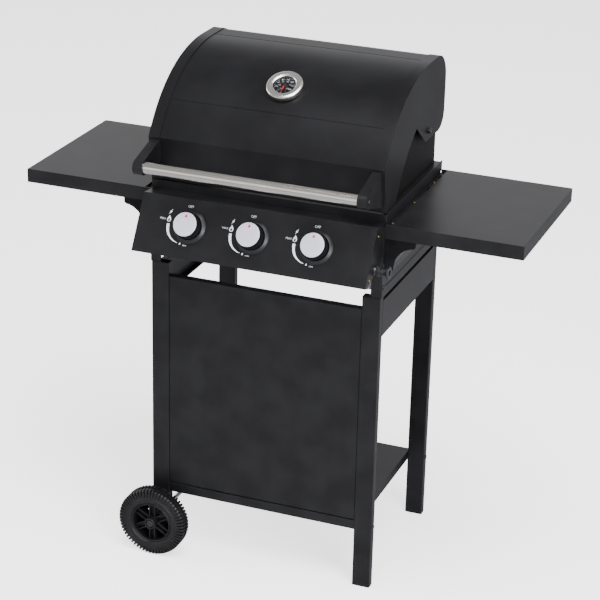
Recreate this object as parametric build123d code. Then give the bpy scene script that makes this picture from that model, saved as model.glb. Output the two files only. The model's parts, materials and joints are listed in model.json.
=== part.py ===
from build123d import *

import os
from math import cos, hypot, radians, sin

# Three-burner gas barbecue grill on a two-wheeled cart.
# Millimetres. +X is the user's right, +Y points to the back, +Z is up, and the floor is z = 0.
# Parts are drawn with y = 0 in the middle of the cart's legs; export_all() moves them so that the
# origin is the middle of the whole grill's box on the floor.

# ---- driving dimensions ----
sheet = 1.5                     # sheet steel of the firebox, lid ends and brackets
thin_sheet = 1.2                # sheet steel of the pans, lid skin and tube walls

cart_x = 260.0                  # half width over the legs
cart_y = 192.0                  # half depth over the legs
leg_x = 40.0                    # leg tube, across
leg_y = 20.0                    # leg tube, front to back
leg_top = 686.0                 # top of the legs, with their plugs
plug_cap = 3.0                  # flange of a leg plug
short_leg_bottom = 45.0         # the left legs stop above the floor: the wheels carry that side

shelf_top = 158.0
shelf_lip = 21.0
panel_top = 656.0               # front panel
panel_gap = 3.0                 # between the shelf and the front panel
apron_z = (595.0, 675.0)        # side aprons between the legs
rear_rail_z = (620.0, 675.0)

table_top = 850.0
table_lip = 30.0
table_x = (262.3, 556.0)
table_ledge = (14.5, 6.0)       # width and depth of the sunk strip beside the firebox
table_screw_in = 8.5            # its screws, from the table's inner edge
table_ledge_inset = 3.0         # from the table's front and back edges
table_y = (-190.0, 190.0)

wheel_r = 79.0
wheel_width = 38.0
tyre_inner_r = 47.0
axle_r = 5.0
axle_x = -(cart_x - leg_x / 2)
wheel_gap = 20.0                # spacer between a wheel and its leg

tub_x = 251.0                   # half width of the firebox tub
tub_y = (-166.0, 172.5)
tub_z = (735.0, 868.0)
rim_x = 264.5                   # half width over the rim
rim_y = (-181.0, 186.0)
rim_low = 846.0                 # lower edge of the rim at the front and back
rim_side_z = (851.0, 873.0)     # the sides of the rim stand higher and clear the tables
grate_ledge_z = 847.5
tamer_ledge_z = 808.0

side_x = (260.5, 260.5 + sheet)     # firebox side plates
side_y = (-191.0, 183.0)
flange_x = 238.0                    # inner edge of their front and back flanges

panel_low = (-291.5, 745.0)     # control panel, lower front corner (y, z)
panel_high = (-226.0, 854.0)    # control panel, upper front corner
knob_pitch = 141.0
knob_up_panel = 68.0            # knob centre, measured up the sloping face
knob_r = 27.0
bezel_r = 36.0

lid_x = 261.5                   # half width over the lid's end plates
lid_band = 24.5                 # width of the band on each end plate
lid_bottom = (-184.0, 872.0)    # front lower edge of the lid (y, z)
lid_kink = (-200.0, 968.0)      # crease above the handle
lid_top = 1121.0
lid_back = 188.0
lid_corner_r = 60.0             # rear upper corner
lid_skin_end = 1041.0           # the rear of the lid is open below this, for the smoke
hinge = (79.0, 971.0)           # lid hinge axis (y, z)
hinge_r = 4.0
running = 0.06                  # radial clearance of the parts that turn

handle = (-275.0, 926.0)        # handle bar axis (y, z)
handle_r = 12.5
handle_x = 235.0
handle_bracket_x = (235.0, 256.0)

manifold = (-232.0, 764.0)      # gas manifold axis (y, z)
manifold_r = 8.0
burner_z = 783.0
burner_r = 14.0
inlet_thread_r = 6.6            # G 1/4 thread

sides = {"left": -1, "right": 1}
stations = {"left": -knob_pitch, "middle": 0.0, "right": knob_pitch}


# ---- helpers ----
def block(x, y, z):
    """Box between two values on each axis, given in either order."""
    (x0, x1), (y0, y1), (z0, z1) = sorted(x), sorted(y), sorted(z)
    centre = Pos((x0 + x1) / 2, (y0 + y1) / 2, (z0 + z1) / 2)
    return centre * Box(x1 - x0, y1 - y0, z1 - z0)


def rod(start, end, radius):
    """Round rod from one point to another."""
    along = Vector(*end) - Vector(*start)
    return Solid.make_cylinder(radius, along.length, Plane(origin=start, z_dir=along))


def pan(x, y, z, thickness, open_side):
    """Five-sided pan, open at 'bottom', 'top' or 'back'."""
    far = 2 * thickness
    inner_x = (x[0] + thickness, x[1] - thickness)
    inner_y = (y[0] + thickness, y[1] + far if open_side == "back" else y[1] - thickness)
    low = z[0] - far if open_side == "bottom" else z[0] + thickness
    high = z[1] + far if open_side == "top" else z[1] - thickness
    return block(x, y, z) - block(inner_x, inner_y, (low, high))


def outline(points):
    return make_face(Polyline(*points, close=True))


def along_x(face, x):
    """Face drawn in (y, z), carried from one x to another."""
    return extrude(Plane.YZ.offset(min(x)) * face, abs(x[1] - x[0]))


def along_y(face, y):
    """Face drawn in (x, z), carried from one y to another."""
    start = Plane(origin=(0, max(y), 0), x_dir=(1, 0, 0), z_dir=(0, -1, 0))
    return extrude(start * face, abs(y[1] - y[0]))


def folded(points, thickness):
    """Closed outline of a folded sheet: the given line, thickened to its left with mitred corners."""
    normals = []
    for (u0, v0), (u1, v1) in zip(points, points[1:]):
        length = hypot(u1 - u0, v1 - v0)
        normals.append(((v0 - v1) / length, (u1 - u0) / length))
    moved = []
    for i, (u, v) in enumerate(points):
        (a, b), (c, d) = normals[max(i - 1, 0)], normals[min(i, len(normals) - 1)]
        scale = thickness / (1 + a * c + b * d)
        moved.append((u + (a + c) * scale, v + (b + d) * scale))
    return list(points) + moved[::-1]


def mirrored(part, side):
    """Part drawn on the right-hand side, for either side."""
    return part if side > 0 else mirror(part, about=Plane.YZ)


def group(parts):
    """Separate solids in one node."""
    return Compound([solid for part in parts for solid in part.solids()])


def export_all(nodes):
    """Write every node, moved so that the origin is the middle of the whole box."""
    box = Compound([solid for part in nodes.values() for solid in part.solids()]).bounding_box()
    shift = -(box.min.Y + box.max.Y) / 2
    print("moved along Y by", round(shift, 4))
    for name, part in nodes.items():
        export_step(Pos(0, shift, 0) * part, f"parts/{name}.step")


# ---- cart ----
shelf_bolt_z = 147.0
leg_mid_y = cart_y - leg_y / 2
bolt_r = 2.5


def leg(side, end):
    """Leg tube; end is -1 at the front and 1 at the back. Left legs carry the axle."""
    bottom = (short_leg_bottom if side < 0 else 0) + plug_cap
    z = (bottom, leg_top - plug_cap)
    x = (side * (cart_x - leg_x), side * cart_x)
    y = (end * (cart_y - leg_y), end * cart_y)
    tube = fillet(block(x, y, z).edges().filter_by(Axis.Z), 2.0)
    hollow_x = (x[0] + side * thin_sheet, x[1] - side * thin_sheet)
    hollow_y = (y[0] + end * thin_sheet, y[1] - end * thin_sheet)
    tube -= block(hollow_x, hollow_y, (0, leg_top))
    mid_y = end * leg_mid_y
    tube -= rod((x[0] - side, mid_y, shelf_bolt_z), (x[1] + side, mid_y, shelf_bolt_z), bolt_r)
    if side < 0:
        tube -= rod((axle_x, y[0] - end, wheel_r), (axle_x, y[1] + end, wheel_r), axle_r)
    return tube


def leg_plugs():
    """Plastic plugs that close both ends of every leg; the right-hand ones are the feet."""
    plugs = []
    insert = 12.0
    slack = thin_sheet + 0.2
    for side in (-1, 1):
        bottom = short_leg_bottom if side < 0 else 0
        for end in (-1, 1):
            x = (side * (cart_x - leg_x), side * cart_x)
            y = (end * (cart_y - leg_y), end * cart_y)
            core_x = (x[0] + side * slack, x[1] - side * slack)
            core_y = (y[0] + end * slack, y[1] - end * slack)
            for cap_z, core_z in (
                ((bottom, bottom + plug_cap), (bottom + plug_cap, bottom + insert)),
                ((leg_top - plug_cap, leg_top), (leg_top - insert, leg_top - plug_cap)),
            ):
                cap = fillet(block(x, y, cap_z).edges().filter_by(Axis.Z), 2.0)
                plugs.append(cap + block(core_x, core_y, core_z))
    return group(plugs)


def bottom_shelf():
    half = cart_x - leg_x
    shelf = pan(
        (-half, half),
        (-cart_y + 2, cart_y - 4),
        (shelf_top - shelf_lip, shelf_top),
        thin_sheet,
        "bottom",
    )
    shelf = fillet(shelf.edges().filter_by(Axis.X).sort_by(Axis.Z)[-2:], 1.0)
    for y in (-leg_mid_y, leg_mid_y):
        shelf -= rod((-half - 1, y, shelf_bolt_z), (half + 1, y, shelf_bolt_z), bolt_r)
    return shelf


def front_panel():
    half = cart_x - leg_x - 0.5
    front = -cart_y + 2
    panel = pan((-half, half), (front, front + 18), (shelf_top + panel_gap, panel_top), thin_sheet, "back")
    return fillet(panel.faces().sort_by(Axis.Y)[0].edges(), 1.0)


def side_apron(side):
    """Channel between the front and back legs, under the firebox."""
    web, flange = cart_x, cart_x - 15
    low, high = apron_z
    channel = folded([(flange, high), (web, high), (web, low), (flange, low)], -sheet)
    reach = cart_y - leg_y
    return mirrored(along_y(outline(channel), (-reach, reach)), side)


def rear_rail():
    web, flange = cart_y - 2, cart_y - 16
    low, high = rear_rail_z
    channel = folded([(flange, high), (web, high), (web, low), (flange, low)], -sheet)
    half = cart_x - leg_x
    return along_x(outline(channel), (-half, half))


def cart_bolts():
    """Round-headed bolts through the legs into the shelf, and those of the firebox sides."""
    bolts = []
    head_r, head_height = 5.0, 3.0
    for side in (-1, 1):
        for y in (-leg_mid_y, leg_mid_y):
            outside = side * cart_x
            end = side * (cart_x - leg_x - 6)
            shank = rod((outside, y, shelf_bolt_z), (end, y, shelf_bolt_z), bolt_r)
            head = rod(
                (outside, y, shelf_bolt_z), (outside + side * head_height, y, shelf_bolt_z), head_r
            )
            bolts.append(shank + head)
        for y in side_bolt_y:
            outside = side * side_x[1]
            shank = rod((outside, y, side_bolt_z), (outside - side * 10, y, side_bolt_z), bolt_r)
            head = rod(
                (outside, y, side_bolt_z), (outside + side * head_height, y, side_bolt_z), head_r
            )
            bolts.append(shank + head)
    return group(bolts)


# ---- wheels ----
wheel_face = -(cart_y + wheel_gap + wheel_width)    # outer face of the front wheel
spokes = 6
ring_plate_r = 26.0             # hole in the plate behind the spokes


def tyre(end):
    """Moulded tyre, drawn as its envelope over the tread."""
    outer = wheel_face * -end
    inner = end * (cart_y + wheel_gap)
    body = rod((axle_x, inner, wheel_r), (axle_x, outer, wheel_r), wheel_r)
    body = fillet(body.edges(), 6.0)
    return body - rod((axle_x, inner - end, wheel_r), (axle_x, outer + end, wheel_r), tyre_inner_r)


def wheel_hub(end):
    """Spoked hub: a rim inside the tyre, a ring plate, six spokes and a boss that turns on the axle."""
    inner = end * (cart_y + wheel_gap)
    outer = inner + end * (wheel_width - 4)

    def disc(radius, y0, y1):
        return rod((axle_x, y0, wheel_r), (axle_x, y1, wheel_r), radius)

    hub = disc(tyre_inner_r, inner + end * 2, outer) - disc(tyre_inner_r - 4, inner, outer + end)
    hub += disc(tyre_inner_r, inner + end * 2, inner + end * 4) - disc(ring_plate_r, inner, outer)
    boss = disc(13.0, inner, outer + end * 3)
    web_y = (inner + end * 3, outer - end * 6)
    for i in range(spokes):
        spoke = block((11.0, tyre_inner_r - 2), web_y, (-5.0, 5.0))
        hub += Pos(axle_x, 0, wheel_r) * (Rotation(0, 90 + i * 360 / spokes, 0) * spoke)
    hub += boss
    return hub - disc(axle_r + running, inner - end, outer + end * 5)


def axle():
    reach = -wheel_face + 3.5
    return rod((axle_x, -reach, wheel_r), (axle_x, reach, wheel_r), axle_r)


def axle_nuts():
    """Push-on caps on both ends of the axle, with the spacers beside the legs."""
    pieces = []
    for end in (-1, 1):
        start = -wheel_face + 0.5
        cap = rod((axle_x, end * start, wheel_r), (axle_x, end * (start + 4.5), wheel_r), 8.0)
        cap = fillet(cap.edges().sort_by(Axis.Y)[-1 if end > 0 else 0], 2.0)
        pieces.append(
            cap - rod((axle_x, 0, wheel_r), (axle_x, end * (-wheel_face + 3.5), wheel_r), axle_r)
        )
        reach = cart_y + wheel_gap
        spacer = rod((axle_x, end * cart_y, wheel_r), (axle_x, end * (reach - 0.5), wheel_r), 9.0)
        pieces.append(
            spacer
            - rod((axle_x, end * (cart_y - 1), wheel_r), (axle_x, end * (reach + 1), wheel_r), axle_r)
        )
    return group(pieces)


# ---- firebox ----
side_bolt_y = (-180.0, 170.0)
igniter_at = (26.0, 8.0)        # spark electrode, beside and above a burner's axis
side_bolt_z = 708.0
side_flange_in = 205.0          # the bottom flanges carry the grease tray


def firebox_tub():
    """Tub with a flanged rim, ledges for the grates and tamers, and a drain over the tray."""
    tub = pan((-tub_x, tub_x), tub_y, tub_z, sheet, "top")
    rim = block((-rim_x, rim_x), rim_y, (rim_low, tub_z[1]))
    side_bars = block((-rim_x, rim_x), rim_y, rim_side_z)
    side_bars -= block((sheet - rim_x, rim_x - sheet), rim_y, rim_side_z)
    rim = fillet((rim + side_bars).edges().filter_by(Axis.Z).filter_by(
        lambda edge: abs(edge.center().X) > rim_x - 0.1), 4.0)
    rim -= block((-tub_x, tub_x), tub_y, (rim_low - 1, tub_z[1] + 1))
    under = tub_z[1] - sheet
    rim -= block((sheet - rim_x, rim_x - sheet), (rim_y[0] + sheet, tub_y[0]), (rim_low - 1, under))
    rim -= block((sheet - rim_x, rim_x - sheet), (tub_y[1], rim_y[1] - sheet), (rim_low - 1, under))
    for side in (-1, 1):
        hollow_x = (side * tub_x, side * (rim_x - sheet))
        rim -= block(hollow_x, (rim_y[0] + sheet, rim_y[1] - sheet), (rim_low - 1, under))
        edge_x = (side * side_x[1], side * (rim_x + 1))
        rim -= block(edge_x, table_y, (rim_low - 1, rim_side_z[0]))
    tub += rim
    inside = tub_x - sheet
    front, back = tub_y[0] + sheet, tub_y[1] - sheet
    for ledge_z, reach in ((grate_ledge_z, 16.0), (tamer_ledge_z, 18.0)):
        tub += block((-inside, inside), (front, front + reach), (ledge_z - sheet, ledge_z))
        tub += block((-inside, inside), (back - reach, back), (ledge_z - sheet, ledge_z))
    tub -= block((-110, 110), (-70, 70), (tub_z[0] - 1, tub_z[0] + 3))
    for x in stations.values():
        tub -= rod((x, front - 5, burner_z), (x, front + 5, burner_z), burner_r)
        spark_x, spark_z = x + igniter_at[0], burner_z + igniter_at[1]
        tub -= rod((spark_x, front - 5, spark_z), (spark_x, front + 5, spark_z), 3.0)
    return tub


def firebox_side(side):
    """Side plate from the legs up to the rim, flanged at the front, the back and the bottom."""
    low = leg_top
    inner, outer = side_x
    front, back = side_y
    plate = block((inner, outer), (front, back), (low, rim_low))
    plate += block((inner, outer), (rim_y[0] + 2, back - 1), (rim_low, tub_z[1] - sheet))
    plate += block((flange_x, outer), (front, front + sheet), (low, rim_low))
    plate += block((flange_x, outer), (back - sheet, back), (low, tub_z[0]))
    plate += block((side_flange_in, outer), (-150, back), (low, low + sheet))
    for y in side_bolt_y:
        plate -= rod((inner - 1, y, side_bolt_z), (outer + 1, y, side_bolt_z), bolt_r)
    return mirrored(plate, side)


wing_x = (tub_x - 2 * sheet, tub_x - sheet)
wind_back = 171.0               # outer face of the upright back wall
rack_y = (40.0, 140.0)
rack_z = 930.0
rack_rod_r = 3.0


def lid_support():
    """Two side wings that carry the lid's hinge pins, joined by an upright back wall."""
    wing = [
        (-160, grate_ledge_z),
        (wind_back, grate_ledge_z),
        (wind_back, 968),
        (150, 990),
        (40, 990),
        (-30, 962),
        (-160, 882),
    ]
    support = block((-wing_x[1], wing_x[1]), (wind_back - sheet, wind_back), (grate_ledge_z, 945))
    tab_z = rack_z - rack_rod_r
    for side in (-1, 1):
        x = (side * wing_x[0], side * wing_x[1])
        support += along_x(outline(wing), sorted(x))
        for y in rack_y:
            tab_x = (side * (wing_x[0] - 12), side * wing_x[0])
            support += block(tab_x, (y - 6, y + 6), (tab_z - sheet, tab_z))
        support -= rod((x[0] - side * 2, *hinge), (x[1] + side * 2, *hinge), hinge_r)
    return support


def hinge_pins():
    """Shouldered pins: a head inside the wing, a spacer to the lid and a head outside it."""
    pins = []
    shoulder_r = 6.5
    clear = 0.3
    for side in (-1, 1):
        pin = rod((side * 244, *hinge), (side * 265, *hinge), hinge_r)
        for start, end in (
            (244, wing_x[0]),
            (wing_x[1], lid_x - sheet - clear),
            (lid_x + clear, 265),
        ):
            pin += rod((side * start, *hinge), (side * end, *hinge), shoulder_r)
        pins.append(pin)
    return group(pins)


tray_x = 236.0
tray_y = (-150.0, 168.0)


def grease_tray():
    """Drip tray that slides out at the back, on the bottom flanges of the side plates."""
    floor = leg_top + sheet + 0.3
    tray = pan((-tray_x, tray_x), tray_y, (floor, floor + 26), thin_sheet, "top")
    pull = block((-60, 60), (tray_y[1], tray_y[1] + 14), (floor + 24.8, floor + 26))
    pull += block((-60, 60), (tray_y[1] + 12.8, tray_y[1] + 14), (floor + 14, floor + 26))
    return tray + pull


def burners():
    tubes = []
    for x in stations.values():
        front, back = tub_y[0] - 8, 140.0
        tube = rod((x, front, burner_z), (x, back, burner_z), burner_r)
        tube -= rod((x, front - 1, burner_z), (x, back - 2, burner_z), burner_r - thin_sheet)
        for side in (-1, 1):
            for i in range(9):
                y = -120.0 + 28.0 * i
                tube -= rod((x, y, burner_z), (x + side * 20, y, burner_z + 12), 1.5)
        tubes.append(tube)
    return group(tubes)


def flame_tamers():
    """Steel tents over the burners, lying on the lower ledges."""
    tents = []
    rise = 24.0
    for x in stations.values():
        line = [(x - 46, tamer_ledge_z), (x, tamer_ledge_z + rise), (x + 46, tamer_ledge_z)]
        tents.append(along_y(outline(folded(line, thin_sheet)), (tub_y[0] + 5, tub_y[1] - 5)))
    return group(tents)


def cooking_grate(side):
    """Half of the cooking surface: a frame with bars from front to back."""
    x = (1.0, wing_x[0] - 1)
    y = (tub_y[0] + sheet + 1, wind_back - sheet - 1)
    z = (grate_ledge_z, grate_ledge_z + 9)
    rail = 8.0
    bars = 14
    frame = block(x, y, z) - block((x[0] + rail, x[1] - rail), (y[0] + rail, y[1] - rail), z)
    pitch = (x[1] - x[0] - rail) / (bars + 1)
    for i in range(1, bars + 1):
        middle = x[0] + rail / 2 + i * pitch
        frame += block((middle - 2.5, middle + 2.5), (y[0] + 2, y[1] - 2), z)
    return mirrored(frame, side)


def warming_rack():
    """Wire shelf that lies on the wings' tabs, above the back of the cooking surface."""
    front, back = rack_y
    reach = wing_x[0] - 0.5
    rack = rod((-reach, front, rack_z), (reach, front, rack_z), rack_rod_r)
    rack += rod((-reach, back, rack_z), (reach, back, rack_z), rack_rod_r)
    wires, span = 19, 452.0
    for i in range(wires):
        x = span * (i / (wires - 1) - 0.5)
        rack += rod((x, front - 6, rack_z + 3.5), (x, back + 6, rack_z + 3.5), 2.0)
    return rack


def igniters():
    """Spark electrodes beside the burner mouths, through the front of the firebox."""
    sparks = []
    wall = tub_y[0]
    for x in stations.values():
        at = (x + igniter_at[0], burner_z + igniter_at[1])
        spark = rod((at[0], wall - 8, at[1]), (at[0], wall + 28, at[1]), 3.0)
        sparks.append(spark + rod((at[0], wall + 28, at[1]), (at[0], wall + 42, at[1]), 1.0))
    return group(sparks)


# ---- control panel ----
panel_rise = hypot(panel_high[0] - panel_low[0], panel_high[1] - panel_low[1])
panel_up = (
    (panel_high[0] - panel_low[0]) / panel_rise,
    (panel_high[1] - panel_low[1]) / panel_rise,
)
panel_normal = (0, -panel_up[1], panel_up[0])


def on_panel(x):
    """Plane at a knob's centre on the panel's face: local y runs up the panel, local z out of it."""
    y = panel_low[0] + panel_up[0] * knob_up_panel
    z = panel_low[1] + panel_up[1] * knob_up_panel
    return Plane(origin=(x, y, z), x_dir=(1, 0, 0), z_dir=panel_normal)


def turned(x, profile):
    """Solid turned round a knob's axis from (radius, height) points."""
    return on_panel(x) * revolve(Plane.XZ * outline(profile), Axis.Z)


def drum(x, radius, low, high):
    return turned(x, [(0, low), (radius, low), (radius, high), (0, high)])


def control_panel():
    back = (-181.0, 849.5)
    lip = (panel_low[0] + 16, panel_low[1] - 5)
    shell = along_x(outline(folded([back, panel_high, panel_low, lip], sheet)), (-cart_x, cart_x))
    end = [
        (-192, 850.7),
        panel_high,
        panel_low,
        (panel_low[0] + 8, panel_low[1] - 2.5),
        (-256, 750),
        (-192, 778),
    ]
    for side in (-1, 1):
        x = sorted((side * (cart_x - sheet), side * cart_x))
        shell += along_x(outline(end), x)
        shell -= rod(
            (side * (cart_x - 5), *manifold), (side * (cart_x + 5), *manifold), manifold_r + 1
        )
        for y, z in panel_screw_at:
            shell -= rod((side * (cart_x - 5), y, z), (side * (cart_x + 5), y, z), 1.5)
    for x in stations.values():
        shell -= drum(x, 9.0, -5, 5)
    return shell


panel_screw_at = ((-220.0, 834.0), (-268.0, 755.0))
table_screw_y = (-163.0, -25.0, 111.0)


def brass_screws():
    """Yellow zinc-plated screws of the control panel's ends and of the tables' sunk strips."""
    screws = []
    for side in (-1, 1):
        for y, z in panel_screw_at:
            outside = side * cart_x
            head = rod((outside, y, z), (outside + side * 2, y, z), 3.5)
            screws.append(head + rod((outside, y, z), (outside - side * 6, y, z), 1.5))
        x = side * (table_x[0] + table_screw_in)
        strip = table_top - table_ledge[1]
        for y in table_screw_y:
            screws.append(rod((x, y, strip), (x, y, strip + 2.5), 3.5))
    return group(screws)


def knob_bezels():
    return group(
        turned(x, [(knob_r + 1, 0), (bezel_r, 0), (bezel_r, 1.5), (bezel_r - 4, 7), (knob_r + 1, 7)])
        for x in stations.values()
    )


def knob(x):
    """Black grip with a skirt; its socket takes the valve stem."""
    grip = [
        (4.0, 9), (knob_r, 9), (knob_r, 12), (knob_r - 0.5, 14), (knob_r - 1.0, 29),
        (knob_r - 1.5, 30), (0, 30), (0, 23), (4.0, 23),
    ]
    return turned(x, grip)


def knob_face(x):
    """Silver disc on the front of the knob."""
    reach = knob_r - 1.5
    face = [(0, 30), (reach, 30), (reach, 31.5), (reach - 1.5, 32.5), (reach / 2, 33.0), (0, 33.2)]
    return turned(x, face)


def valve_stem(x):
    return drum(x, 4.0, -24, 23)


def stem_collar(x):
    """Washer that the return spring pushes against; it moves in with the stem but doesn't turn."""
    reach = 4.0 + running
    return turned(x, [(reach, -6.5), (8, -6.5), (8, -4.5), (reach, -4.5)])


def gas_valves():
    """Brass taps: a barrel behind the panel, an outlet into the burner and an inlet from below."""
    valves = []
    tilt = panel_normal
    for x in stations.values():
        centre = on_panel(x).origin - Vector(*tilt) * 34
        valve = drum(x, 11.0, -44, -12)
        valve += rod((x, centre.Y, burner_z), (x, tub_y[0] - 4, burner_z), 5.0)
        valve += rod((x, manifold[0], manifold[1]), (x, manifold[0], burner_z), 5.5)
        valve -= drum(x, 4.0 + running, -30, -11)
        valve -= rod((x - 20, *manifold), (x + 20, *manifold), manifold_r)
        valves.append(valve)
    return group(valves)


def gas_manifold():
    pipe = rod((-200, *manifold), (cart_x + 3, *manifold), manifold_r)
    return pipe - rod((-190, *manifold), (cart_x + 4, *manifold), manifold_r - 2)


def gas_inlet():
    """Threaded inlet for the hose: a nut, a neck and a flange."""
    start = cart_x + 3
    fitting = rod((start, *manifold), (start + 5, *manifold), 12.0)
    fitting += rod((start + 5, *manifold), (start + 24, *manifold), 9.0)
    fitting += rod((start + 24, *manifold), (start + 28, *manifold), 13.0)
    fitting += rod(
        (start + 14, manifold[0], manifold[1] + 5), (start + 14, manifold[0], manifold[1] + 17), 1.5
    )
    fitting -= rod((start + 14, *manifold), (start + 29, *manifold), inlet_thread_r)
    return fitting - rod((start - 1, *manifold), (start + 15, *manifold), 3.0)


# ---- lid ----
crown_y = 75.0                  # the top is level from here to the rear corner
crown_r = 346.0
brow_start = (-41.0, 1101.0)    # where the crown's arc meets the brow's
brow_mid = (-133.5, 1048.0)


def lid_line():
    """Outer line of the lid from its front lower edge, over the top, to the rear corner's end."""
    corner = (lid_back - lid_corner_r, lid_top)
    crown_mid = (crown_y - 59.0, lid_top - crown_r + (crown_r**2 - 59.0**2) ** 0.5)
    sweep = radians(45)
    corner_mid = (
        corner[0] + lid_corner_r * sin(sweep),
        lid_top - lid_corner_r * (1 - cos(sweep)),
    )
    return [
        Line(lid_bottom, lid_kink),
        ThreePointArc(lid_kink, brow_mid, brow_start),
        ThreePointArc(brow_start, crown_mid, (crown_y, lid_top)),
        Line((crown_y, lid_top), corner),
        ThreePointArc(corner, corner_mid, (lid_back, lid_top - lid_corner_r)),
    ]


def lid_section(inset):
    """Closed face inside the lid's outer line, drawn in by a distance."""
    closing = [
        Line((lid_back, lid_top - lid_corner_r), (lid_back, lid_bottom[1] - 60)),
        Line((lid_back, lid_bottom[1] - 60), (lid_bottom[0] + 10, lid_bottom[1] - 60)),
        Line((lid_bottom[0] + 10, lid_bottom[1] - 60), lid_bottom),
    ]
    face = make_face(Wire(lid_line() + closing))
    return offset(face, amount=-inset, kind=Kind.INTERSECTION) if inset else face


def lid_strip(outer_inset, inner_inset, x):
    """Bent strip of the lid between two insets, cut off at its front and rear edges."""
    strip = along_x(lid_section(outer_inset), x) - along_x(lid_section(inner_inset), x)
    strip -= block((-300, 300), (-400, 0), (lid_bottom[1] - 100, lid_bottom[1]))
    return strip - block((-300, 300), (0, 400), (lid_bottom[1] - 100, lid_skin_end))


def end_plate_outline():
    """Outline of an end plate: the lid's line, the rounded hinge lobe and the cut-out before it."""
    floor, lobe_r = 950.0, 40.0
    sweep = radians(45)
    lobe = (lid_back, floor + lobe_r)
    lobe_mid = (lid_back - lobe_r * (1 - cos(sweep)), floor + lobe_r * (1 - sin(sweep)))
    notch = [(4.0, 994.0), (-1.0, 998.0), (-8.0, 995.0)]
    return make_face(
        Wire(
            lid_line()
            + [
                Line((lid_back, lid_top - lid_corner_r), lobe),
                ThreePointArc(lobe, lobe_mid, (lid_back - lobe_r, floor)),
                Line((lid_back - lobe_r, floor), (62.0, floor)),
                Line((62.0, floor), notch[0]),
                ThreePointArc(*notch),
                ThreePointArc(notch[2], (-70.0, 946.0), (-124.0, lid_bottom[1])),
                Line((-124.0, lid_bottom[1]), lid_bottom),
            ]
        )
    )


def lid_end(side):
    """End plate with the band that wraps over the skin, and the hole for its hinge pin."""
    plate = along_x(end_plate_outline(), (lid_x - sheet, lid_x))
    plate += lid_strip(0, sheet, (lid_x - lid_band, lid_x - sheet))
    plate -= rod((lid_x - 5, *hinge), (lid_x + 5, *hinge), hinge_r + running)
    return mirrored(plate, side)


brow_centre = (58.9, 820.2)
brow_r = 298.1
brow_crease_lean = 43.0             # angle of the crease across the brow, from upright
crown_crease_y = 88.0


def lid_skin():
    reach = lid_x - sheet
    skin = lid_strip(sheet, 2 * sheet, (-reach, reach))
    half = lid_x - lid_band
    crease = Box(2 * half, 2.0, 1.6)
    skin -= Pos(0, crown_crease_y, lid_top - sheet) * crease
    brow = Pos(0, *brow_centre) * Rotation(brow_crease_lean, 0, 0) * Pos(0, 0, brow_r - sheet)
    skin -= brow * crease
    probe = gauge_plane()
    return skin - probe * Pos(0, 0, -5) * Cylinder(3.5, 20)


gauge_lean = (-0.502, 0.8649)       # direction (y, z) that the gauge faces
gauge_r = 39.0
lens_r = 24.0


def gauge_plane():
    """Plane on the skin under the thermometer: local z out of the lid."""
    reach = brow_r - sheet + 0.2
    y = brow_centre[0] + gauge_lean[0] * reach
    z = brow_centre[1] + gauge_lean[1] * reach
    return Plane(origin=(0, y, z), x_dir=(1, 0, 0), z_dir=(0, *gauge_lean))


def gauge_turned(profile):
    return gauge_plane() * revolve(Plane.XZ * outline(profile), Axis.Z)


def thermometer_case():
    """Bezel, cup and dial of the thermometer with the probe that reaches into the lid."""
    cup = [
        (0, -45), (3, -45), (3, 0), (gauge_r - 1, 0), (gauge_r, 1), (gauge_r, 10.5),
        (gauge_r - 2, 12.5), (29, 12.5), (lens_r + 0.2, 11), (lens_r + 0.2, 7), (0, 7),
    ]
    return gauge_turned(cup)


def thermometer_lens():
    return gauge_turned([(0, 9.8), (lens_r, 9.8), (lens_r, 10.8), (0, 11.4)])


needle_rest = 186.0                 # clock angle of the needle when cold, in degrees


def thermometer_needle():
    pointer = outline([(-1.3, -4), (1.3, -4), (1.3, 12), (0.3, 21), (-0.3, 21), (-1.3, 12)])
    needle = extrude(pointer, 0.8) + Cylinder(3.0, 0.8, align=(Align.CENTER, Align.CENTER, Align.MIN))
    return gauge_plane() * Pos(0, 0, 8.2) * (Rotation(0, 0, -needle_rest) * needle)


def handle_bracket(side):
    """Arm that holds an end of the handle bar, screwed to the front of an end plate's band."""
    def front_of_lid(z):
        return lid_bottom[0] + (lid_kink[0] - lid_bottom[0]) * (z - lid_bottom[1]) / (
            lid_kink[1] - lid_bottom[1]
        )

    nose = 16.0
    high, low = 964.0, 884.0
    top_of_nose = (handle[0] - 5.0, handle[1] + 15.2)
    tip = (handle[0] - nose, handle[1])
    under_nose = (handle[0] + 3.0, handle[1] - 15.7)
    arm = make_face(
        Wire(
            [
                Line((front_of_lid(high), high), top_of_nose),
                ThreePointArc(top_of_nose, tip, under_nose),
                Line(under_nose, (front_of_lid(low), low)),
                Line((front_of_lid(low), low), (front_of_lid(high), high)),
            ]
        )
    )
    return mirrored(along_x(arm, handle_bracket_x), side)


def handle_bar():
    tube = rod((-handle_x, *handle), (handle_x, *handle), handle_r)
    return tube - rod((-handle_x - 1, *handle), (handle_x + 1, *handle), handle_r - thin_sheet)


# ---- side tables ----
bracket_reach = 328.0
bracket_low = 750.0
table_slot_y = (69.0, 118.0, 154.0)


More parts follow.
